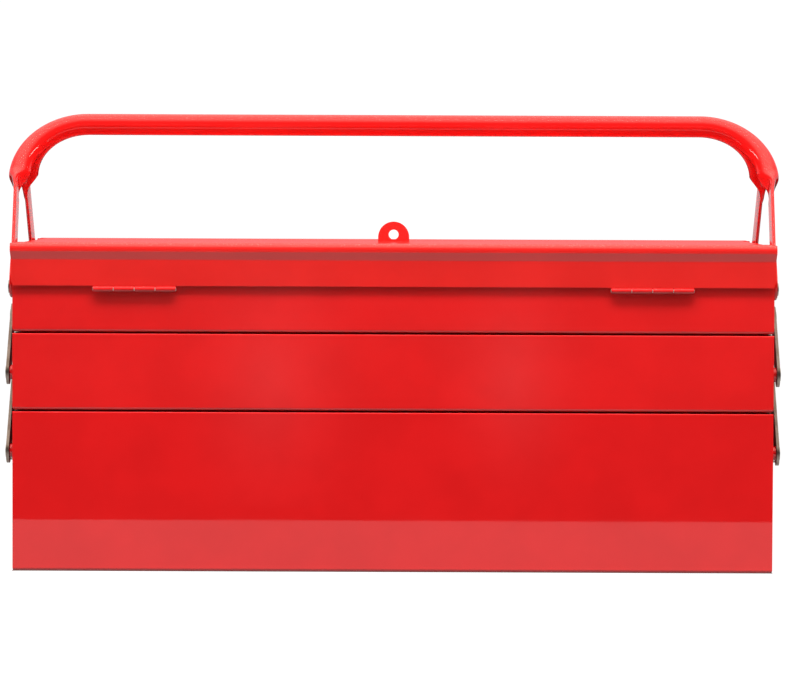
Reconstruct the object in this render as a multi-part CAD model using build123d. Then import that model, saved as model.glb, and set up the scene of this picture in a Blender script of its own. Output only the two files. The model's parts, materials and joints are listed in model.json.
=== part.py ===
from build123d import *
import math
import os

# Steel cantilever toolbox: base box, two middle trays, two upper trays, two lids, two handles.
# X runs along the length, the front is at -Y, Z is up, and the origin is the centre of the base's underside.
# The front half is modelled, and the rear half is its mirror image.

# Overall sizes
LENGTH = 530.0
DEPTH = 200.0
BASE_H = 111.0
TRAY_H = 53.2
TIER_GAP = 1.3
CENTRE_GAP = 1.2

# Sheet
BASE_T = 0.9
TRAY_T = 0.8
BEND_R = 2.0
HEM_W = 1.6
HEM_H = 7.0
HEM_ROUND = 0.7
FLANGE = 8.0
FLANGE_STOP = 2.0
CORNER_ROUND = 1.8

# Cantilever arms and their rivets
ARM_W = 17.0
ARM_T = 2.0
BOSS_R = 5.0
BOSS_H = 2.4
ARM_PLAY = 0.3
RIVET_R = 2.5
RUN_FIT = 0.05
HEAD_R = 4.5
HEAD_T = 0.6
PIVOT_FROM_FRONT = 10.0
PIVOT_BELOW_BASE_RIM = 28.0
PIVOT_BELOW_TRAY_RIM = 27.5
UPPER_RISE = 38.3
ARM_TO_CENTRE = 3.3
ARM_SPACING = 6.0

# Lid, its hinges and the padlock tab
LID_T = 0.8
SKIRT_OUT = 2.7
SKIRT_ABOVE_AXIS = 2.3
FACET_LOW = 18.2
FACET_HIGH = 23.9
FACET_LEAN = 1.7
LID_PANEL = 8.9
LID_FRONT_R = 4.4
INNER_BEND_R = 1.8
CURL_R = 5.0
CURL_FROM_FRONT = 14.0
CURL_DEPTH = 11.0
INNER_LIP = 5.6
EAR_LOW = 0.8
EAR_HIGH = 1.4
EAR_CUT_X = 1.4
EAR_CUT_Z = 4.0
EAR_DEPTH = 2.5
KNUCKLE_R = 2.0
KNUCKLE_CLEAR = 0.4
AXIS_BELOW_RIM = 23.4
PIN_R = 1.0
HINGE_X = 180.0
HINGE_L = 58.0
KNUCKLES = 4
KNUCKLE_SPLIT = 0.6
LEAF_T = 0.8
LEAF_H = 14.0
LEAF_GAP = 0.3
TAB_W = 22.4
TAB_T = 1.5
TAB_TOP = 14.1
TAB_HOLE_R = 3.6
TAB_HOLE_UP = 4.8
TAB_FROM_CENTRE = 2.5
TAB_FOOT = 11.0
SLOT_CLEAR = 0.1

# Tubular handle with flattened legs
TUBE_D = 15.0
TUBE_WALL = 1.1
TUBE_BEND_R = 47.0
TUBE_OUT = 1.8
TUBE_GAP = 0.5
HANDLE_CLEAR = 3.0
HANDLE_FROM_FRONT = 15.0
HANDLE_BELOW_RIM = 22.5
STRAP_W = 23.0
STRAP_T = 2.6
STRAP_OFF = 0.5
STRAP_END = 6.8
STRAIGHT_END = 30.0
LEG_OUT = 1.6
NECK_LOW = 12.0
NECK_TURN = 6.0
NECK_STEPS = [(3.0, 22.5, 5.0, 2.0), (6.5, 20.5, 9.5, 1.6), (10.5, 17.0, 12.8, 0.9)]
HANDLE_SWING = 40.0
LID_TO_TUBE = 1.5
WASHER_R = 5.0
WASHER_T = 0.3

# Derived positions
HALF_L = LENGTH / 2
HALF_D = DEPTH / 2
TRAY_IN = -CENTRE_GAP / 2
MID_Z = BASE_H + TIER_GAP
MID_RIM = MID_Z + TRAY_H
TOP_Z = MID_RIM + TIER_GAP
TOP_RIM = TOP_Z + TRAY_H
ARM_X = HALF_L + BOSS_H + ARM_PLAY
OUT_Y = -(HALF_D - PIVOT_FROM_FRONT)
LOW_Z = BASE_H - PIVOT_BELOW_BASE_RIM
MIDDLE_Z = MID_RIM - PIVOT_BELOW_TRAY_RIM
UPPER_Z = MIDDLE_Z + UPPER_RISE
UPPER_Y = -(ARM_W / 2 + ARM_TO_CENTRE)
LEAN = math.atan2(UPPER_Y - OUT_Y, UPPER_Z - LOW_Z)
MIDDLE_Y = OUT_Y + (MIDDLE_Z - LOW_Z) * math.tan(LEAN)
SHORT_STEP = ARM_W / math.cos(LEAN) + ARM_SPACING
UPPER_STEP = UPPER_Y - MIDDLE_Y
AXIS_Y = -(HALF_D + KNUCKLE_R + KNUCKLE_CLEAR)
AXIS_Z = TOP_RIM - AXIS_BELOW_RIM
SKIRT_Y = -(HALF_D + SKIRT_OUT)
SKIRT_Z = AXIS_Z + SKIRT_ABOVE_AXIS
PANEL_Z = TOP_RIM + LID_PANEL
FACE_Y = SKIRT_Y - FACET_LEAN
CURL_Y = -(HALF_D - CURL_FROM_FRONT)
TAB_Y = -(TAB_FROM_CENTRE + TAB_T / 2)
TAB_Z = PANEL_Z + TAB_TOP
GRIP_Y = -(TUBE_D / 2 + TUBE_GAP)
HANDLE_Y = -(HALF_D - HANDLE_FROM_FRONT)
HANDLE_Z = TOP_RIM - HANDLE_BELOW_RIM
TAB_REACH = math.hypot(-TAB_FROM_CENTRE - AXIS_Y, TAB_Z - AXIS_Z)
AXIS_TO_PIVOT = math.hypot(HANDLE_Y - AXIS_Y, HANDLE_Z - AXIS_Z)
HANDLE_R = TAB_REACH + AXIS_TO_PIVOT + TUBE_D / 2 + HANDLE_CLEAR
HANDLE_TILT = math.asin((GRIP_Y - HANDLE_Y) / HANDLE_R)
HANDLE_LEAN = math.degrees(HANDLE_TILT)
LEG_TOP = HANDLE_R - TUBE_BEND_R - NECK_LOW
AXIS_BEHIND = (HANDLE_Y - AXIS_Y) * math.sin(HANDLE_TILT) + (HANDLE_Z - AXIS_Z) * math.cos(HANDLE_TILT)
CURL_END = AXIS_Y + math.sqrt((LEG_TOP + AXIS_BEHIND) ** 2 - (PANEL_Z - AXIS_Z) ** 2)
LID_FLAT = HALF_L + TUBE_OUT - TUBE_D / 2 - LID_TO_TUBE


def box(x0, x1, y0, y1, z0, z1):
    """A box given by its limits."""
    centre = Pos((x0 + x1) / 2, (y0 + y1) / 2, (z0 + z1) / 2)
    return centre * Box(x1 - x0, y1 - y0, z1 - z0)


def rod(radius, x0, x1, y, z):
    """A cylinder along X."""
    return Pos((x0 + x1) / 2, y, z) * Rot(Y=90) * Cylinder(radius, x1 - x0)


def along_x(sketch, x0, x1):
    """A sketch drawn in (Y, Z), extruded from x0 to x1."""
    plane = Plane(origin=(x0, 0, 0), x_dir=(0, 1, 0), z_dir=(1, 0, 0))
    return extrude(plane * sketch, amount=x1 - x0)


def along_y(sketch, y0, y1):
    """A sketch drawn in (X, Z), extruded from y0 to y1."""
    plane = Plane(origin=(0, y1, 0), x_dir=(1, 0, 0), z_dir=(0, -1, 0))
    return extrude(plane * sketch, amount=y1 - y0)


def rect(a0, a1, b0, b1):
    """A rectangle sketch given by its limits."""
    return Pos((a0 + a1) / 2, (b0 + b1) / 2) * Rectangle(a1 - a0, b1 - b0)


def near(sketch, points, radius):
    """A sketch with the corners nearest the points rounded."""
    corners = [min(sketch.vertices(), key=lambda v: math.dist((v.X, v.Y), p)) for p in points]
    return fillet(corners, radius)


def ends(shape):
    """The right-hand shape and its mirror at the left end."""
    return [shape, mirror(shape, about=Plane.YZ)]


def rear(shape):
    """The rear half's copy of a front shape."""
    return mirror(shape, about=Plane.XZ)


def group(solids):
    """Separate solids that share one node."""
    return Compound(children=solids)


def hem(y0, y1, rim):
    """Section of a folded rim hem with a rounded top."""
    block = rect(y0, y1, rim - HEM_H, rim)
    return near(block, [(y0, rim), (y1, rim)], HEM_ROUND)


def shell(y0, y1, z0, rim, t):
    """Sheet folded into a U along X: outer wall, floor and inner wall, each wall with a hem."""
    outer = near(rect(y0, y1, z0, rim), [(y0, z0), (y1, z0)], BEND_R)
    low = rim - HEM_H
    cut = near(rect(y0 + t, y1 - t, z0 + t, rim), [(y0 + t, z0 + t), (y1 - t, z0 + t)], BEND_R - t)
    trough = outer - cut - rect(y0 - 1, y1 + 1, low, rim + 1)
    section = trough + hem(y0, y0 + HEM_W, rim) + hem(y1 - HEM_W, y1, rim)
    body = along_x(section, -HALF_L, HALF_L)
    face = rect(-HALF_L, HALF_L, z0, rim + 1)
    face = near(face, [(-HALF_L, z0), (HALF_L, z0)], CORNER_ROUND)
    return body & along_y(face, y0 - 1, y1 + 1)


def end_panel(y0, y1, z0, rim, t, pivots, plain=()):
    """Right-hand end panel: a plate with welded flanges, a hem, and a raised boss at each arm pivot."""
    a0, a1, b0 = y0 + t, y1 - t, z0 + t
    low = rim - HEM_H
    outline = near(rect(a0, a1, b0, rim), [(a0, b0), (a1, b0)], BEND_R - t)
    pan = along_x(outline, HALF_L - FLANGE, HALF_L)
    pan -= box(HALF_L - FLANGE - 1, HALF_L - t, a0 + t, a1 - t, b0 + t, rim + 1)
    pan -= box(HALF_L - FLANGE - 1, HALF_L - t, y0, y1, low - FLANGE_STOP, rim + 1)
    fold = near(rect(HALF_L - HEM_W, HALF_L, low, rim), [(HALF_L - HEM_W, rim), (HALF_L, rim)], HEM_ROUND)
    pan -= box(HALF_L - FLANGE - 1, HALF_L + 1, y0, y1, low, rim + 1)
    pan += along_y(fold, y0 + HEM_W, y1 - HEM_W)
    for y, z in pivots:
        pan += rod(BOSS_R, HALF_L - t, HALF_L + BOSS_H, y, z)
    for y, z in list(pivots) + list(plain):
        pan -= rod(RIVET_R, HALF_L - FLANGE, HALF_L + BOSS_H + 1, y, z)
    return pan


def arm_rivet(y, z, t):
    """Rivet through an end panel's boss and an arm, with a head on each side."""
    inside = HALF_L - t
    outside = ARM_X + ARM_T + ARM_PLAY / 2
    shank = rod(RIVET_R, inside - HEAD_T, outside + HEAD_T, y, z)
    inner = rod(HEAD_R, inside - HEAD_T, inside, y, z)
    outer = rod(HEAD_R, outside, outside + HEAD_T, y, z)
    return shank + inner + outer


def rivets(pivots, t):
    """The arm rivets of one tray, at both ends."""
    return group([r for y, z in pivots for r in ends(arm_rivet(y, z, t))])


def arm(points, holes):
    """Flat arm with round ends between two points, drilled at each pivot."""
    (y0, z0), (y1, z1) = points
    length = math.hypot(y1 - y0, z1 - z0)
    turn = math.degrees(math.atan2(z1 - z0, y1 - y0))
    slot = Pos((y0 + y1) / 2, (z0 + z1) / 2) * Rot(Z=turn) * SlotCenterToCenter(length, ARM_W)
    for y, z in holes:
        slot -= Pos(y, z) * Circle(RIVET_R + RUN_FIT)
    return group(ends(along_x(slot, ARM_X, ARM_X + ARM_T)))


BASE_PIVOTS = [(OUT_Y, LOW_Z), (OUT_Y + SHORT_STEP, LOW_Z)]
MID_PIVOTS = [(OUT_Y, MIDDLE_Z), (MIDDLE_Y, MIDDLE_Z), (MIDDLE_Y + SHORT_STEP, MIDDLE_Z)]
TOP_PIVOTS = [(OUT_Y + UPPER_STEP, UPPER_Z), (UPPER_Y, UPPER_Z)]


def long_arms():
    """Arms from the base through the middle tray to the upper tray."""
    return arm([BASE_PIVOTS[0], TOP_PIVOTS[1]], [BASE_PIVOTS[0], MID_PIVOTS[1], TOP_PIVOTS[1]])


def lower_arms():
    """Short arms from the base to the middle tray."""
    return arm([BASE_PIVOTS[1], MID_PIVOTS[2]], [BASE_PIVOTS[1], MID_PIVOTS[2]])


def upper_arms():
    """Short arms from the middle tray to the upper tray."""
    return arm([MID_PIVOTS[0], TOP_PIVOTS[0]], [MID_PIVOTS[0], TOP_PIVOTS[0]])


def lid_section():
    """Section of the lid sheet: skirt, facet, rounded front edge, panel and inner lip."""
    points = [
        (SKIRT_Y, SKIRT_Z),
        (SKIRT_Y, SKIRT_Z + FACET_LOW),
        (FACE_Y, SKIRT_Z + FACET_HIGH),
        (FACE_Y, PANEL_Z),
        (TRAY_IN, PANEL_Z),
        (TRAY_IN, SKIRT_Z),
    ]
    outer = make_face(Polyline(points, close=True))
    outer = near(outer, [points[3]], LID_FRONT_R)
    outer = near(outer, [points[4]], INNER_BEND_R)
    inner = offset(outer, amount=-LID_T)
    inner += rect(SKIRT_Y + LID_T, TRAY_IN - LID_T, SKIRT_Z - 1, SKIRT_Z + LID_T + 1)
    lip = rect(TRAY_IN - LID_T - 1, TRAY_IN + 1, SKIRT_Z - 1, PANEL_Z - INNER_LIP)
    return outer - inner - lip


def lid_front_outline():
    """Outline of the lid's front band seen from the front, with its lower corners cut."""
    low = HALF_L + EAR_LOW
    high = HALF_L + EAR_HIGH
    right = [
        (low - EAR_CUT_X, SKIRT_Z),
        (low, SKIRT_Z + EAR_CUT_Z),
        (low, SKIRT_Z + FACET_LOW),
        (high, SKIRT_Z + FACET_HIGH),
        (high, PANEL_Z + 1),
    ]
    left = [(-x, z) for x, z in reversed(right)]
    return make_face(Polyline(right + left, close=True))


def lid_curl():
    """Right-hand end of the lid's panel, rolled down into a flange inside the tray."""
    centre = PANEL_Z - CURL_R
    ring = Pos(LID_FLAT, centre) * (Circle(CURL_R) - Circle(CURL_R - LID_T))
    quarter = ring & rect(LID_FLAT, LID_FLAT + CURL_R + 1, centre, PANEL_Z + 1)
    edge = LID_FLAT + CURL_R
    quarter += rect(edge - LID_T, edge, PANEL_Z - CURL_DEPTH, centre)
    return along_y(quarter, CURL_Y, CURL_END)


def tab_box():
    """The slot that the padlock tab passes through."""
    half = TAB_W / 2 + SLOT_CLEAR
    y0 = TAB_Y - TAB_T / 2 - SLOT_CLEAR
    y1 = TAB_Y + TAB_T / 2 + SLOT_CLEAR
    return box(-half, half, y0, y1, PANEL_Z - LID_T - 1, PANEL_Z + 1)


def lid():
    """Front lid, one folded sheet."""
    section = lid_section()
    reach = HALF_L + EAR_HIGH
    edge = LID_FLAT + CURL_R
    ear_y = FACE_Y + EAR_DEPTH
    ears = along_x(section & rect(-HALF_D * 2, ear_y, 0, PANEL_Z + 1), -reach, reach)
    ears &= along_y(lid_front_outline(), -HALF_D * 2, 0)
    band = along_x(section & rect(ear_y, CURL_Y, 0, PANEL_Z + 1), -edge, edge)
    top = along_x(section & rect(CURL_Y, 0, 0, PANEL_Z + 1), -LID_FLAT, LID_FLAT)
    sheet = ears + band + top
    for curl in ends(lid_curl()):
        sheet += curl
    return sheet - tab_box()


def tab():
    """Padlock tab: an eye that stands through the lid, with a foot welded under the panel."""
    half = TAB_W / 2
    low = PANEL_Z - LID_T - TAB_T
    centre = TAB_Z - half
    plate = rect(-half, half, low, centre) + Pos(0, centre) * Circle(half)
    plate -= Pos(0, PANEL_Z + TAB_HOLE_UP) * Circle(TAB_HOLE_R)
    y0 = TAB_Y - TAB_T / 2
    eye = along_y(plate, y0, y0 + TAB_T)
    return eye + box(-half, half, y0 - TAB_FOOT, y0, low, low + TAB_T)


def knuckle_span(number, centre):
    """X limits of one hinge knuckle."""
    pitch = HINGE_L / KNUCKLES
    start = centre - HINGE_L / 2 + number * pitch
    return start + KNUCKLE_SPLIT / 2, start + pitch - KNUCKLE_SPLIT / 2


def leaf(centre, y0, first, bore):
    """One hinge leaf: a plate behind the skirt with every second knuckle."""
    y1 = y0 + LEAF_T
    foot = AXIS_Z + SKIRT_ABOVE_AXIS + LEAF_GAP
    plate = box(centre - HINGE_L / 2, centre + HINGE_L / 2, y0, y1, foot, foot + LEAF_H)
    for number in range(first, KNUCKLES, 2):
        x0, x1 = knuckle_span(number, centre)
        plate += rod(KNUCKLE_R, x0, x1, AXIS_Y, AXIS_Z)
        plate += box(x0, x1, y0, y1, AXIS_Z, foot)
    return plate - rod(bore, centre - HINGE_L, centre + HINGE_L, AXIS_Y, AXIS_Z)


def tray_leaves():
    """The hinge leaves on the tray's front wall."""
    y0 = -HALF_D - LEAF_T
    return group([leaf(x, y0, 0, PIN_R) for x in (-HINGE_X, HINGE_X)])


def lid_leaves():
    """The hinge leaves inside the lid's skirt."""
    y0 = SKIRT_Y + LID_T
    return group([leaf(x, y0, 1, PIN_R + RUN_FIT) for x in (-HINGE_X, HINGE_X)])


def pins():
    """The hinge pins."""
    half = HINGE_L / 2
    return group([rod(PIN_R, x - half, x + half, AXIS_Y, AXIS_Z) for x in (-HINGE_X, HINGE_X)])


def strap_face(s):
    """X of the leg's inner face at a distance s from the pivot."""
    rise = max(0, s - STRAIGHT_END) / (LEG_TOP - STRAIGHT_END)
    return HALF_L + STRAP_OFF + (LEG_OUT - STRAP_OFF) * rise


def handle_leg():
    """Right-hand flattened leg, drawn with its pivot at the origin and the leg upright."""
    stops = [-STRAP_END, STRAIGHT_END, LEG_TOP]
    inner = [(strap_face(s), s) for s in stops]
    outer = [(strap_face(s) + STRAP_T, s) for s in reversed(stops)]
    side = make_face(Polyline(inner + outer, close=True))
    half = STRAP_W / 2
    centre = half - STRAP_END
    outline = rect(-half, half, centre, LEG_TOP) + Pos(0, centre) * Circle(half)
    outline -= Circle(RIVET_R + RUN_FIT)
    body = along_y(side, -half, half)
    return body & along_x(outline, HALF_L - 1, HALF_L + LEG_OUT + STRAP_T + 1)


def bend_point(turn):
    """X and distance from the pivot of the tube's centre line, a turn into its right-hand bend."""
    angle = math.radians(turn)
    x = HALF_L + TUBE_OUT - TUBE_BEND_R * (1 - math.cos(angle))
    return x, HANDLE_R - TUBE_BEND_R + TUBE_BEND_R * math.sin(angle)


def handle_neck():
    """Right-hand neck, where the flattened leg swells into the round tube."""
    foot = strap_face(LEG_TOP) + STRAP_T / 2
    flat = Plane(origin=(foot, 0, LEG_TOP), x_dir=(0, 1, 0), z_dir=(0, 0, 1))
    sections = [flat * SlotOverall(STRAP_W, STRAP_T)]
    for rise, width, thickness, outward in NECK_STEPS:
        centre = (HALF_L + TUBE_OUT + outward, 0, LEG_TOP + rise)
        level = Plane(origin=centre, x_dir=(0, 1, 0), z_dir=(0, 0, 1))
        sections.append(level * Ellipse(width / 2, thickness / 2))
    x, s = bend_point(NECK_TURN)
    along = (-math.sin(math.radians(NECK_TURN)), 0, math.cos(math.radians(NECK_TURN)))
    top = Plane(origin=(x, 0, s), x_dir=(0, 1, 0), z_dir=along)
    sections.append(top * Circle(TUBE_D / 2))
    return loft(sections)


def handle():
    """Front handle: one bent tube whose ends are flattened into legs."""
    x = HALF_L + TUBE_OUT - TUBE_BEND_R
    z = HANDLE_R - TUBE_BEND_R
    right = CenterArc((x, z), TUBE_BEND_R, NECK_TURN, 90 - NECK_TURN)
    grip = Line((x, HANDLE_R), (-x, HANDLE_R))
    left = CenterArc((-x, z), TUBE_BEND_R, 90, 90 - NECK_TURN)
    path = Plane.XZ * Wire([right, grip, left])
    start = Plane(origin=path @ 0, z_dir=path % 0)
    ring = Circle(TUBE_D / 2) - Circle(TUBE_D / 2 - TUBE_WALL)
    body = sweep(start * ring, path=path)
    for piece in ends(handle_neck()) + ends(handle_leg()):
        body += piece
    return Pos(0, HANDLE_Y, HANDLE_Z) * Rot(X=-HANDLE_LEAN) * body


def handle_rivets():
    """Pivot rivets of the handle on the upper tray's ends."""
    inside = HALF_L - TRAY_T
    outside = HALF_L + STRAP_OFF + STRAP_T + ARM_PLAY
    shank = rod(RIVET_R, inside - HEAD_T, outside + HEAD_T, HANDLE_Y, HANDLE_Z)
    inner = rod(HEAD_R, inside - HEAD_T, inside, HANDLE_Y, HANDLE_Z)
    outer = rod(HEAD_R, outside, outside + HEAD_T, HANDLE_Y, HANDLE_Z)
    washer = rod(WASHER_R, HALF_L, HALF_L + WASHER_T, HANDLE_Y, HANDLE_Z)
    return group(ends(shank + inner + outer + washer))


def base_nodes():
    """The base box with its end panels and rivets."""
    pivots = BASE_PIVOTS + [(-y, z) for y, z in BASE_PIVOTS]
    panel = end_panel(-HALF_D, HALF_D, 0, BASE_H, BASE_T, pivots)
    right, left = ends(panel)
    return {
        "base_shell": shell(-HALF_D, HALF_D, 0, BASE_H, BASE_T),
        "base_end_right": right,
        "base_end_left": left,
        "base_rivets": rivets(pivots, BASE_T),
    }


def tray_nodes(name, z0, rim, pivots, plain=()):
    """One front tray: shell, end panels and arm rivets."""
    panel = end_panel(-HALF_D, TRAY_IN, z0, rim, TRAY_T, pivots, plain)
    right, left = ends(panel)
    return {
        name + "_shell": shell(-HALF_D, TRAY_IN, z0, rim, TRAY_T),
        name + "_end_right": right,
        name + "_end_left": left,
        name + "_rivets": rivets(pivots, TRAY_T),
    }


def front_nodes():
    """Everything that belongs to the front half and has a mirrored twin at the rear."""
    nodes = tray_nodes("mid_tray", MID_Z, MID_RIM, MID_PIVOTS)
    nodes.update(tray_nodes("top_tray", TOP_Z, TOP_RIM, TOP_PIVOTS, [(HANDLE_Y, HANDLE_Z)]))
    nodes["long_arms"] = long_arms()
    nodes["lower_arms"] = lower_arms()
    nodes["upper_arms"] = upper_arms()
    nodes["lid"] = lid()
    nodes["padlock_tab"] = tab()
    nodes["hinge_tray_leaves"] = tray_leaves()
    nodes["hinge_lid_leaves"] = lid_leaves()
    nodes["hinge_pins"] = pins()
    nodes["handle"] = handle()
    nodes["handle_rivets"] = handle_rivets()
    return nodes


os.makedirs("parts", exist_ok=True)
for node, shape in base_nodes().items():
    export_step(shape, f"parts/{node}.step")
for node, shape in front_nodes().items():
    export_step(shape, f"parts/front_{node}.step")
    export_step(rear(shape), f"parts/rear_{node}.step")
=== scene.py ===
import json
import math

import bmesh
import bpy
from mathutils import Matrix, Vector


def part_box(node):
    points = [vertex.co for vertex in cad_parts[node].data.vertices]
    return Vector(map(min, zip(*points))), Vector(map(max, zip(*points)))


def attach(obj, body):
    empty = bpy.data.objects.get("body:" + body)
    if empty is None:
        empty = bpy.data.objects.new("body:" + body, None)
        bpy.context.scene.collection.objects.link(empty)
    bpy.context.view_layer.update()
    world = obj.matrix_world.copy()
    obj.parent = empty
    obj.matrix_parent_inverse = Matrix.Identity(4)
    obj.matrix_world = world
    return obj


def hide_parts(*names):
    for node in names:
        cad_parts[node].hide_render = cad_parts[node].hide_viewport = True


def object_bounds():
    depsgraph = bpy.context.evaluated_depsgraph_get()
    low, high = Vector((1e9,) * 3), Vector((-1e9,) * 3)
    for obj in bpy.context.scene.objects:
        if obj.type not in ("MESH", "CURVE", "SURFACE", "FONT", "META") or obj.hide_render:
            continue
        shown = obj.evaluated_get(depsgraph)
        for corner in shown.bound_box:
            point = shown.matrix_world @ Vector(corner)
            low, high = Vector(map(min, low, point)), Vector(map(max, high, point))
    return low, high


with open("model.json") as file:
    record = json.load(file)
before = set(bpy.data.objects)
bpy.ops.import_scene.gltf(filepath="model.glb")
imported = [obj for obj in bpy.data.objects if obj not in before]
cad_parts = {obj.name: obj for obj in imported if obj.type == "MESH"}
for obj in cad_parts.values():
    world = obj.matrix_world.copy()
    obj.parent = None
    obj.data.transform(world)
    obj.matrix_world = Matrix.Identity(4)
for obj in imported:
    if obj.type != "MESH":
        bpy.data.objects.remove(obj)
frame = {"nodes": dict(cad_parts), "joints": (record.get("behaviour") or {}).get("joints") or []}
cad_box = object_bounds()
nodes = frame["nodes"]

# ---------------------------------------------------------------------------------------------
# Base box. One sheet of 0.9 mm steel is folded into a trough, and an end panel with folded
# flanges is spot-welded into each end. It is degreased, sprayed with red gloss enamel and baked.
# The enamel keeps the slight waves of the folded sheet and a fine orange peel of its own.


def new_group(name, inputs, outputs):
    """An empty shader node group with float inputs, and its input and output nodes."""
    tree = bpy.data.node_groups.new(name, "ShaderNodeTree")
    for label, value in inputs:
        socket = tree.interface.new_socket(name=label, in_out="INPUT", socket_type="NodeSocketFloat")
        socket.default_value = value
    for label, kind in outputs:
        tree.interface.new_socket(name=label, in_out="OUTPUT", socket_type=kind)
    return tree, tree.nodes.new("NodeGroupInput"), tree.nodes.new("NodeGroupOutput")


def sums(tree, operation, first, second=None, third=None):
    """A Math node: each operand is a socket or a number."""
    node = tree.nodes.new("ShaderNodeMath")
    node.operation = operation
    for slot, operand in enumerate((first, second, third)):
        if isinstance(operand, (int, float)):
            node.inputs[slot].default_value = operand
        elif operand is not None:
            tree.links.new(operand, node.inputs[slot])
    return node.outputs[0]


def noise(tree, place, scale, detail=2.0, roughness=0.5, stretch=None):
    """A Noise node read at a place, its scale a socket or a number of cycles a metre."""
    if stretch:
        squeeze = tree.nodes.new("ShaderNodeMapping")
        squeeze.inputs["Scale"].default_value = stretch
        tree.links.new(place, squeeze.inputs["Vector"])
        place = squeeze.outputs[0]
    node = tree.nodes.new("ShaderNodeTexNoise")
    tree.links.new(place, node.inputs["Vector"])
    if isinstance(scale, (int, float)):
        node.inputs["Scale"].default_value = scale
    else:
        tree.links.new(scale, node.inputs["Scale"])
    node.inputs["Detail"].default_value = detail
    node.inputs["Roughness"].default_value = roughness
    return node.outputs["Fac"]


def ramp(tree, factor, low, high):
    """A factor stretched so that low becomes 0 and high becomes 1."""
    node = tree.nodes.new("ShaderNodeMapRange")
    node.interpolation_type = "SMOOTHSTEP"
    tree.links.new(factor, node.inputs["Value"])
    node.inputs["From Min"].default_value = low
    node.inputs["From Max"].default_value = high
    return node.outputs["Result"]


def object_place(tree):
    """The Object coordinates of the piece, in metres."""
    return tree.nodes.new("ShaderNodeTexCoord").outputs["Object"]


def sheet_relief_group():
    """Height in mm of a painted sheet: long waves of the steel and the paint's orange peel."""
    tree, given, out = new_group(
        "Sheet relief",
        [("Wave length", 14.0), ("Wave height", 0.03), ("Peel scale", 650.0), ("Peel height", 0.0012)],
        [("Height", "NodeSocketFloat")],
    )
    place = object_place(tree)
    wave = noise(tree, place, given.outputs["Wave length"], 1.0, 0.4)
    peel = noise(tree, place, given.outputs["Peel scale"], 2.0, 0.55)
    tall = sums(tree, "MULTIPLY", wave, given.outputs["Wave height"])
    fine = sums(tree, "MULTIPLY", peel, given.outputs["Peel height"])
    tree.links.new(sums(tree, "ADD", tall, fine), out.inputs["Height"])
    return tree


def worn_and_highlit_edge_group():
    """Mask of sharp edges in patches, where the finish wears thin and where a paler colour stands for a
    painted highlight: 0 on the flats and up to 1 on an edge.
    """
    tree, given, out = new_group(
        "Worn and highlit edge", [("Width", 0.0006), ("Amount", 0.5)], [("Mask", "NodeSocketFloat")]
    )
    bevel = tree.nodes.new("ShaderNodeBevel")
    bevel.samples = 4
    tree.links.new(given.outputs["Width"], bevel.inputs["Radius"])
    surface = tree.nodes.new("ShaderNodeNewGeometry")
    dot = tree.nodes.new("ShaderNodeVectorMath")
    dot.operation = "DOT_PRODUCT"
    tree.links.new(bevel.outputs[0], dot.inputs[0])
    tree.links.new(surface.outputs["Normal"], dot.inputs[1])
    sharp = ramp(tree, dot.outputs["Value"], 0.99, 0.80)
    patchy = ramp(tree, noise(tree, object_place(tree), 55.0, 5.0, 0.65), 0.42, 0.68)
    both = sums(tree, "MULTIPLY", sharp, patchy)
    tree.links.new(sums(tree, "MULTIPLY", both, given.outputs["Amount"]), out.inputs["Mask"])
    return tree


def handling_group():
    """Mask of the faint smears and settled dust of handling, stronger on faces that look up."""
    tree, given, out = new_group(
        "Handling", [("Smear", 0.3), ("Dust", 0.3)],
        [("Smear", "NodeSocketFloat"), ("Dust", "NodeSocketFloat")],
    )
    place = object_place(tree)
    smear = ramp(tree, noise(tree, place, 9.0, 6.0, 0.62, (1.0, 1.0, 2.2)), 0.45, 0.75)
    tree.links.new(sums(tree, "MULTIPLY", smear, given.outputs["Smear"]), out.inputs["Smear"])
    surface = tree.nodes.new("ShaderNodeNewGeometry")
    split = tree.nodes.new("ShaderNodeSeparateXYZ")
    tree.links.new(surface.outputs["Normal"], split.inputs[0])
    upward = ramp(tree, split.outputs["Z"], 0.2, 1.0)
    specks = ramp(tree, noise(tree, place, 900.0, 3.0, 0.6), 0.56, 0.72)
    dusty = sums(tree, "MULTIPLY", upward, specks)
    tree.links.new(sums(tree, "MULTIPLY", dusty, given.outputs["Dust"]), out.inputs["Dust"])
    return tree


SHEET_RELIEF = sheet_relief_group()
WORN_AND_HIGHLIT_EDGE = worn_and_highlit_edge_group()
HANDLING = handling_group()


def place_group(tree, group, **values):
    """A node group placed in a material with its own values, named with _ for a space."""
    node = tree.nodes.new("ShaderNodeGroup")
    node.node_tree = group
    for label, value in values.items():
        node.inputs[label.replace("_", " ")].default_value = value
    return node


def tint(tree, mask, under, over):
    """A colour, a socket or RGB values, mixed towards another by a mask."""
    node = tree.nodes.new("ShaderNodeMix")
    node.data_type = "RGBA"
    tree.links.new(mask, node.inputs["Factor"])
    for label, colour in (("A", under), ("B", over)):
        socket = [s for s in node.inputs if s.name == label and s.type == "RGBA"][0]
        if isinstance(colour, tuple):
            socket.default_value = (*colour, 1.0)
        else:
            tree.links.new(colour, socket)
    return [s for s in node.outputs if s.type == "RGBA"][0]


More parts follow.
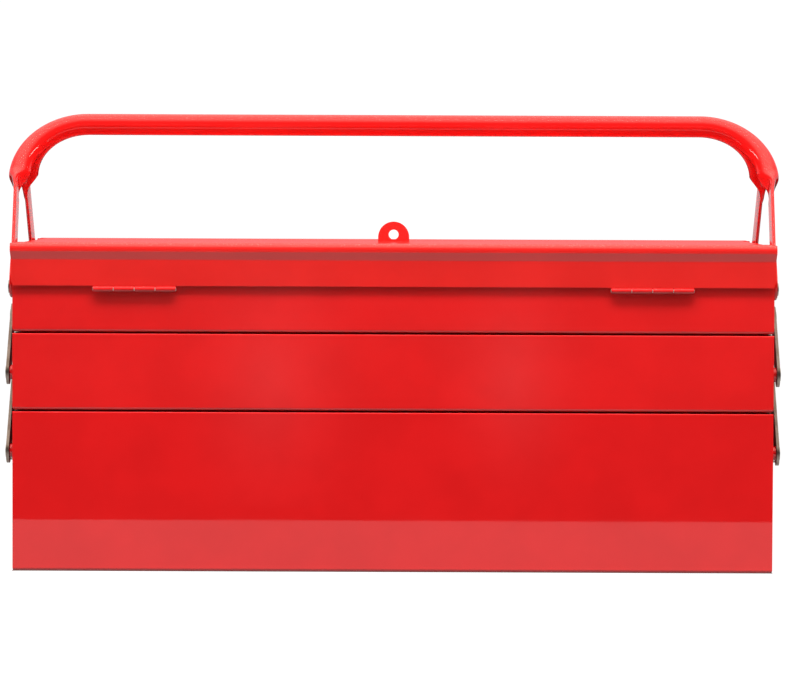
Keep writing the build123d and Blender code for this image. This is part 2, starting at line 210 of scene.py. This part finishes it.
def red_enamel(name, colour, wave_height, wave_length=14.0, gloss=0.07, dust=0.25, shine=1.0):
    """Baked red gloss enamel over steel sheet; less shine leaves more red where seen edge-on."""
    material = bpy.data.materials.new(name)
    material.use_nodes = True
    tree = material.node_tree
    shader = tree.nodes["Principled BSDF"]
    deep = tuple(c * 0.92 for c in colour)
    # Paler, pinker paint on sharp edges: partly enamel rubbed thin, partly a painted highlight along the
    # edges.
    thin = (min(1.0, colour[0] * 1.05), colour[1] + 0.035, colour[2] + 0.03)
    cloud = ramp(tree, noise(tree, object_place(tree), 22.0, 3.0, 0.5), 0.3, 0.7)
    paint = tint(tree, cloud, deep, colour)
    edge = place_group(tree, WORN_AND_HIGHLIT_EDGE, Width=0.0005, Amount=0.7)
    paint = tint(tree, edge.outputs["Mask"], paint, thin)
    hand = place_group(tree, HANDLING, Smear=0.5, Dust=dust)
    paint = tint(tree, hand.outputs["Dust"], paint, (0.62, 0.40, 0.37))
    tree.links.new(paint, shader.inputs["Base Color"])
    dull = sums(tree, "MULTIPLY_ADD", hand.outputs["Smear"], 0.05, gloss)
    dull = sums(tree, "MULTIPLY_ADD", hand.outputs["Dust"], 0.3, dull)
    tree.links.new(dull, shader.inputs["Roughness"])
    shader.inputs["IOR"].default_value = 1.5
    if shine < 1.0:
        facing = tree.nodes.new("ShaderNodeLayerWeight")
        edge_on = ramp(tree, facing.outputs["Facing"], 0.80, 0.95)
        weight = sums(tree, "MULTIPLY_ADD", edge_on, shine - 1.0, 1.0)
        shader.inputs["Specular IOR Level"].default_value = 0.0
        shader.inputs["Coat Roughness"].default_value = gloss
        tree.links.new(weight, shader.inputs["Coat Weight"])
    relief = place_group(tree, SHEET_RELIEF, Wave_length=wave_length, Wave_height=wave_height)
    bump = tree.nodes.new("ShaderNodeBump")
    bump.inputs["Distance"].default_value = 0.001
    tree.links.new(relief.outputs["Height"], bump.inputs["Height"])
    tree.links.new(bump.outputs[0], shader.inputs["Normal"])
    tree.links.new(bump.outputs[0], shader.inputs["Coat Normal"])
    return material


def coat(names, material):
    """Puts a finish on CAD nodes."""
    for name in names:
        for slot in nodes[name].material_slots:
            slot.material = material


base_enamel = red_enamel("red_enamel_base", (0.74, 0.012, 0.014), wave_height=0.02, gloss=0.02)
coat(["base_shell", "base_end_right", "base_end_left"], base_enamel)

# ---------------------------------------------------------------------------------------------
# Middle and upper trays. Each tray is folded and welded like the base from 0.8 mm sheet, with a
# hem turned inside along every rim so that no raw edge meets the hand.

tray_enamel = red_enamel("red_enamel_trays", (0.76, 0.0135, 0.015), wave_height=0.025)
for side in ("front", "rear"):
    for tray in ("mid_tray", "top_tray"):
        coat([f"{side}_{tray}_{part}" for part in ("shell", "end_right", "end_left")], tray_enamel)

# ---------------------------------------------------------------------------------------------
# Cantilever arms. Stamped from 2 mm strip with round ends, then zinc plated and passivated, which
# leaves a dull, faintly brown grey. They stay bare so that they can rub without shedding paint.


def zinc(name, colour, stain, dull):
    """Dull zinc plate on stamped steel."""
    material = bpy.data.materials.new(name)
    material.use_nodes = True
    tree = material.node_tree
    shader = tree.nodes["Principled BSDF"]
    shader.inputs["Metallic"].default_value = 1.0
    place = object_place(tree)
    bloom = ramp(tree, noise(tree, place, 120.0, 5.0, 0.6), 0.35, 0.7)
    plate = tint(tree, bloom, colour, stain)
    edge = place_group(tree, WORN_AND_HIGHLIT_EDGE, Width=0.0004, Amount=0.8)
    plate = tint(tree, edge.outputs["Mask"], plate, (0.50, 0.46, 0.42))
    tree.links.new(plate, shader.inputs["Base Color"])
    streak = noise(tree, place, 700.0, 3.0, 0.6, (1.0, 1.0, 0.15))
    tree.links.new(sums(tree, "MULTIPLY_ADD", streak, 0.25, dull), shader.inputs["Roughness"])
    bump = tree.nodes.new("ShaderNodeBump")
    bump.inputs["Distance"].default_value = 0.001
    tree.links.new(sums(tree, "MULTIPLY", streak, 0.01), bump.inputs["Height"])
    tree.links.new(bump.outputs[0], shader.inputs["Normal"])
    return material


arm_zinc = zinc("dull_zinc_arms", (0.26, 0.22, 0.19), (0.17, 0.13, 0.105), 0.30)
for side in ("front", "rear"):
    coat([f"{side}_{arm}_arms" for arm in ("long", "lower", "upper")], arm_zinc)

# ---------------------------------------------------------------------------------------------
# Arm rivets. Semi-tubular steel rivets, 5 mm in the shank, set through the boss of each end
# panel so that the arm still turns under the head.

rivet_zinc = zinc("dull_zinc_rivets", (0.46, 0.43, 0.40), (0.30, 0.26, 0.22), 0.26)
coat(["base_rivets"], rivet_zinc)
for side in ("front", "rear"):
    coat([f"{side}_{part}_rivets" for part in ("mid_tray", "top_tray", "handle")], rivet_zinc)

# ---------------------------------------------------------------------------------------------
# Lid hinges. Rolled steel butt hinges 58 mm long: one leaf welded to the tray's front wall, the
# other inside the lid's skirt. They are sprayed with the box; the drawn pin stays bare.

hinge_enamel = red_enamel("red_enamel_hinges", (0.74, 0.010, 0.012), wave_height=0.0, gloss=0.10)
pin_steel = zinc("drawn_pin_steel", (0.55, 0.53, 0.51), (0.42, 0.38, 0.34), 0.18)
for side in ("front", "rear"):
    coat([f"{side}_hinge_tray_leaves", f"{side}_hinge_lid_leaves"], hinge_enamel)
    coat([f"{side}_hinge_pins"], pin_steel)

# ---------------------------------------------------------------------------------------------
# Lids and padlock tabs. Each lid is one folded sheet with a slanted facet along its front edge and
# rolled ends; the tab, an upright eye for a padlock, stands through a slot and is welded below.
# Seen edge-on the enamel here shines less than real enamel would.

lid_enamel = red_enamel("red_enamel_lids", (0.76, 0.020, 0.018), wave_height=0.02, shine=0.35)
for side in ("front", "rear"):
    coat([f"{side}_lid", f"{side}_padlock_tab"], lid_enamel)

# ---------------------------------------------------------------------------------------------
# Handles. A 15 mm steel tube bent to a wide hoop, its two ends pressed flat into straps that are
# drilled for the pivot rivet. The neck where the round tube flattens swells and narrows in one
# smooth curve. They are sprayed with the same enamel.

TUBE_R = 0.0075
BEND_R = 0.047
BEND_STEPS = 30
AROUND = 48
STRAP_W = 0.023
STRAP_T = 0.0026
STRAP_END = 0.0068
BOSS_H = 0.0024
TUBE_OUT = 0.0018
STRAP_FOOT = 0.0005
STRAP_HEAD = 0.0016
STRAIGHT_END = 0.030
GRIP_STEPS = 12
STRAP_STEPS = 6
TIP_STEPS = 12
TIP_TURN = math.radians(85)
BEND_SHARE = 0.94
SEAM = 0.00002
# The neck: height over the strap's top, width, thickness, and how far outside the tube's line.
NECK = [
    (0.0160, 0.0153, 0.0147, 0.0001),
    (0.0146, 0.0160, 0.0140, 0.0004),
    (0.0132, 0.0170, 0.0129, 0.0007),
    (0.0118, 0.0181, 0.0113, 0.0010),
    (0.0103, 0.0194, 0.0092, 0.0013),
    (0.0088, 0.0206, 0.0071, 0.0016),
    (0.0072, 0.0217, 0.0053, 0.0018),
    (0.0055, 0.0224, 0.0040, 0.0018),
    (0.0030, 0.0229, 0.0031, 0.0017),
]
NECK_LOW = 0.012


def set_section(ring, centre, turn, width, thickness):
    """Puts a ring of vertices on an oval, or a round-edged strip when thin, square to the tube."""
    half_w, half_t = width / 2, thickness / 2
    thin = max(0.0, min(1.0, (0.006 - thickness) / (0.006 - STRAP_T)))
    across = Vector((math.cos(turn), 0.0, math.sin(turn)))
    for number, vertex in enumerate(ring):
        angle = 2 * math.pi * number / len(ring)
        oval = half_w * math.sin(angle)
        strip = max(-1.0, min(1.0, 1.6 * math.sin(angle))) * (half_w - half_t) + half_t * math.sin(angle)
        y = oval + (strip - oval) * thin
        vertex.co = Vector(centre) + across * half_t * math.cos(angle) + Vector((0.0, y, 0.0))


def next_ring(shape, ring):
    """Extrudes a ring of vertices and returns the new ring in the same order."""
    loop = [shape.edges.get((ring[k - 1], ring[k])) for k in range(len(ring))]
    made = bmesh.ops.extrude_edge_only(shape, edges=loop)
    fresh = [g for g in made["geom"] if isinstance(g, bmesh.types.BMVert)]
    order = {}
    for vertex in fresh:
        old = [e.other_vert(vertex) for e in vertex.link_edges if e.other_vert(vertex) in ring]
        order[ring.index(old[0])] = vertex
    return [order[k] for k in range(len(ring))]


def hoop(name, side):
    """One handle, built upright on its pivot as a right-hand half, then mirrored and leaned."""
    lowest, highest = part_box(f"{side}_handle")
    pivot = next(Vector(j["pos_m"]) for j in frame["joints"] if j["name"] == f"{side}_handle_pivot")
    sign = 1.0 if pivot.y < 0 else -1.0
    grip_y = (highest.y if sign > 0 else -lowest.y) - TUBE_R
    grip_z = highest.z - TUBE_R
    reach = math.hypot(grip_y + abs(pivot.y), grip_z - pivot.z)
    lean = math.atan2(grip_y + abs(pivot.y), grip_z - pivot.z)
    end_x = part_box("base_end_right")[1].x - BOSS_H
    tube_x = end_x + TUBE_OUT
    bend_x, bend_z = tube_x - BEND_R, reach - BEND_R
    strap_top = bend_z - NECK_LOW
    shape = bmesh.new()
    ring = bmesh.ops.create_circle(shape, cap_ends=False, segments=AROUND, radius=TUBE_R)["verts"]
    set_section(ring, (0.0, 0.0, reach), math.pi / 2, 2 * TUBE_R, 2 * TUBE_R)
    for step in range(1, GRIP_STEPS + 1):
        ring = next_ring(shape, ring)
        set_section(ring, (bend_x * step / GRIP_STEPS, 0.0, reach), math.pi / 2, 2 * TUBE_R, 2 * TUBE_R)
    for step in range(1, BEND_STEPS + 1):
        turn = math.pi / 2 * (1.0 - BEND_SHARE * step / BEND_STEPS)
        centre = (bend_x + BEND_R * math.cos(turn), 0.0, bend_z + BEND_R * math.sin(turn))
        ring = next_ring(shape, ring)
        set_section(ring, centre, turn, 2 * TUBE_R, 2 * TUBE_R)
    for height, width, thickness, out in NECK:
        turn = math.asin(max(0.0, height - NECK_LOW) / BEND_R)
        x = tube_x - BEND_R * (1.0 - math.cos(turn)) + out
        ring = next_ring(shape, ring)
        set_section(ring, (x, 0.0, strap_top + height), turn, width, thickness)
    inner_low, inner_high = end_x + STRAP_FOOT, end_x + STRAP_HEAD
    for k in range(STRAP_STEPS + 1):
        s = strap_top - k * (strap_top - STRAIGHT_END) / STRAP_STEPS
        rise = (s - STRAIGHT_END) / (strap_top - STRAIGHT_END)
        x = inner_low + (inner_high - inner_low) * rise + STRAP_T / 2
        ring = next_ring(shape, ring)
        set_section(ring, (x, 0.0, s), 0.0, STRAP_W, STRAP_T)
    half = STRAP_W / 2
    for k in range(TIP_STEPS + 1):
        angle = TIP_TURN * k / TIP_STEPS
        s = half - STRAP_END - half * math.sin(angle)
        width = max(STRAP_W * math.cos(angle), STRAP_T)
        ring = next_ring(shape, ring)
        set_section(ring, (inner_low + STRAP_T / 2, 0.0, s), 0.0, width, STRAP_T)
    shape.faces.new(ring)
    whole = shape.verts[:] + shape.edges[:] + shape.faces[:]
    bmesh.ops.mirror(shape, geom=whole, axis="X", merge_dist=SEAM)
    bmesh.ops.recalc_face_normals(shape, faces=shape.faces[:])
    shape.transform(Matrix.Rotation(-lean, 4, "X"))
    if sign < 0:
        bmesh.ops.scale(shape, vec=(1.0, -1.0, 1.0), verts=shape.verts[:])
        bmesh.ops.reverse_faces(shape, faces=shape.faces[:])
    bmesh.ops.translate(shape, vec=pivot, verts=shape.verts[:])
    mesh = bpy.data.meshes.new(name)
    for face in shape.faces:
        face.smooth = True
    shape.to_mesh(mesh)
    shape.free()
    piece = bpy.data.objects.new(name, mesh)
    bpy.context.scene.collection.objects.link(piece)
    return piece


handle_enamel = red_enamel("red_enamel_handles", (0.80, 0.010, 0.010), wave_height=0.004,
                           wave_length=40.0, gloss=0.09)
for side in ("front", "rear"):
    handle = hoop(f"{side}_handle_tube", side)
    handle.data.materials.append(handle_enamel)
    coat([f"{side}_handle"], handle_enamel)
    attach(handle, f"{side}_handle")
    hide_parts(f"{side}_handle")

# ---------------------------------------------------------------------------------------------
# Studio. A glowing white table, a grey surround behind the box, warm light overhead and darkness
# on the viewer's side. The camera sees pure white all round. The table ends a forearm in front
# of the box for reflections, and a dark card stands for the room beyond its edge.


def plain(name, colour, glow=0.0):
    """A plain surface of the studio, which may glow."""
    material = bpy.data.materials.new(name)
    material.use_nodes = True
    shader = material.node_tree.nodes["Principled BSDF"]
    shader.inputs["Base Color"].default_value = (*colour, 1.0)
    shader.inputs["Roughness"].default_value = 0.9
    shader.inputs["Specular IOR Level"].default_value = 0.0
    shader.inputs["Emission Color"].default_value = (1.0, 1.0, 1.0, 1.0)
    shader.inputs["Emission Strength"].default_value = glow
    return material


def flat_piece(name, outline, material):
    """A staged flat card through the corners given."""
    mesh = bpy.data.meshes.new(name)
    shape = bmesh.new()
    shape.faces.new([shape.verts.new(corner) for corner in outline])
    shape.to_mesh(mesh)
    shape.free()
    mesh.materials.append(material)
    card = bpy.data.objects.new(name, mesh)
    bpy.context.scene.collection.objects.link(card)
    return card


low, high = cad_box
TABLE_REACH = 9.0
table = flat_piece("table_top", [(-TABLE_REACH, -TABLE_REACH, low.z), (TABLE_REACH, -TABLE_REACH, low.z),
                                 (TABLE_REACH, TABLE_REACH, low.z), (-TABLE_REACH, TABLE_REACH, low.z)],
                   plain("white_table", (0.04, 0.04, 0.04), 1.02))
table.visible_diffuse = False

# A painted contact shadow: a dark plate lying just under the base and a little wider than it, which
# shows as the thin dark line where the box stands on the table.
CONTACT = 0.004
base_low, base_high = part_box("base_shell")
left, right, front, rear = base_low.x, base_high.x, base_low.y - CONTACT, base_high.y + CONTACT
CONTACT_LIFT = 0.0002
contact_z = low.z + CONTACT_LIFT
contact = flat_piece("contact_shadow", [(left, front, contact_z), (right, front, contact_z),
                                        (right, rear, contact_z), (left, rear, contact_z)],
                     plain("painted_contact_shadow", (0.10, 0.02, 0.015)))
contact.visible_glossy = False

CARD_LIFT = 0.0005
TABLE_EDGE = 0.385
CARD_REACH = 8.9
dark = plain("dark_card", (0.012, 0.012, 0.012))
near_y, near_x = high.y + TABLE_EDGE, high.x + TABLE_EDGE
cards = [
    ("dark_card_front", -CARD_REACH, CARD_REACH, -CARD_REACH, -near_y),
    ("dark_card_rear", -CARD_REACH, CARD_REACH, near_y, CARD_REACH),
    ("dark_card_left", -CARD_REACH, -near_x, -near_y, near_y),
    ("dark_card_right", near_x, CARD_REACH, -near_y, near_y),
]
for name, x0, x1, y0, y1 in cards:
    z = low.z + CARD_LIFT
    card = flat_piece(name, [(x0, y0, z), (x1, y0, z), (x1, y1, z), (x0, y1, z)], dark)
    card.visible_camera = False
    card.visible_shadow = False

# Two faint standing cards, fading to their edges, which the fronts mirror as lighter zones.
BAND_Y = -0.60
BAND_Z = 0.11
BAND_GLOW = 0.45
faint_cards = [("faint_card_left", -0.10, 0.10, 0.16), ("faint_card_right", 0.10, 0.08, 0.13)]
for name, x, half_x, half_z in faint_cards:
    glow = plain(name, (0.0, 0.0, 0.0), BAND_GLOW)
    tree = glow.node_tree
    fade = tree.nodes.new("ShaderNodeTexGradient")
    fade.gradient_type = "SPHERICAL"
    spread = tree.nodes.new("ShaderNodeMapping")
    spread.vector_type = "TEXTURE"
    spread.inputs["Location"].default_value = (x, BAND_Y, BAND_Z)
    spread.inputs["Scale"].default_value = (half_x, 1.0, half_z)
    tree.links.new(tree.nodes.new("ShaderNodeTexCoord").outputs["Object"], spread.inputs["Vector"])
    tree.links.new(spread.outputs["Vector"], fade.inputs["Vector"])
    tree.links.new(fade.outputs["Fac"], tree.nodes["Principled BSDF"].inputs["Emission Color"])
    tree.links.new(fade.outputs["Fac"], tree.nodes["Principled BSDF"].inputs["Alpha"])
    card = flat_piece(name, [(x - half_x, BAND_Y, low.z), (x - half_x, BAND_Y, BAND_Z + half_z),
                             (x + half_x, BAND_Y, BAND_Z + half_z), (x + half_x, BAND_Y, low.z)], glow)
    card.visible_camera = card.visible_shadow = card.visible_diffuse = False

world = bpy.data.worlds.new("studio")
bpy.context.scene.world = world
world.use_nodes = True
tree = world.node_tree
sky = tree.nodes["Background"]
split = tree.nodes.new("ShaderNodeSeparateXYZ")
tree.links.new(tree.nodes.new("ShaderNodeTexCoord").outputs["Generated"], split.inputs[0])
overhead = ramp(tree, split.outputs["Z"], 0.45, 0.95)
behind = ramp(tree, split.outputs["Y"], 0.05, 0.60)
room = tint(tree, behind, (0.03, 0.03, 0.03), (0.55, 0.55, 0.56))
room = tint(tree, overhead, room, (2.2, 1.95, 1.75))
path = tree.nodes.new("ShaderNodeLightPath")
room = tint(tree, path.outputs["Is Camera Ray"], room, (1.05, 1.05, 1.05))
tree.links.new(room, sky.inputs["Color"])
sky.inputs["Strength"].default_value = 1.0


def softbox(name, place, target, width, height, power):
    """A rectangular soft light at a place, turned to a target."""
    light = bpy.data.lights.new(name, "AREA")
    light.shape = "RECTANGLE"
    light.size, light.size_y, light.energy = width, height, power
    light.color = (1.0, 0.93, 0.86)
    lamp = bpy.data.objects.new(name, light)
    lamp.location = place
    lamp.rotation_euler = (Vector(target) - Vector(place)).to_track_quat("-Z", "Y").to_euler()
    lamp.visible_camera = False
    bpy.context.scene.collection.objects.link(lamp)
    return lamp


softbox("high_softbox", (0.0, -0.95, 2.5), (0, 0, 0.15), 3.0, 0.5, 105.0).visible_glossy = False
softbox("front_fill", (0.0, -1.7, 0.25), (0, 0, 0.12), 1.6, 0.4, 7.5).visible_glossy = False
softbox("left_softbox", (-1.9, -0.9, 0.95), (0, 0, 0.2), 0.22, 0.9, 9.0)
softbox("right_softbox", (1.9, -0.9, 0.95), (0, 0, 0.2), 0.22, 0.9, 9.0)

# ---------------------------------------------------------------------------------------------
# Camera. A long lens just above the lids, looking down by about two and a half degrees and a
# hair off level.

CAMERA_PLACE = (-0.0006, -2.731, 0.2730)
CAMERA_DOWN = math.radians(2.571)
CAMERA_ROLL = math.radians(0.23)
CAMERA_YAW = math.radians(-0.04)
lens = bpy.data.cameras.new("camera")
lens.lens = 172.5
lens.sensor_width = 36.0
camera = bpy.data.objects.new("camera", lens)
camera.matrix_world = (
    Matrix.Translation(CAMERA_PLACE)
    @ Matrix.Rotation(CAMERA_YAW, 4, "Z")
    @ Matrix.Rotation(math.pi / 2 - CAMERA_DOWN, 4, "X")
    @ Matrix.Rotation(CAMERA_ROLL, 4, "Z")
)
bpy.context.scene.collection.objects.link(camera)
bpy.context.scene.camera = camera
bpy.context.scene.view_settings.view_transform = "Standard"
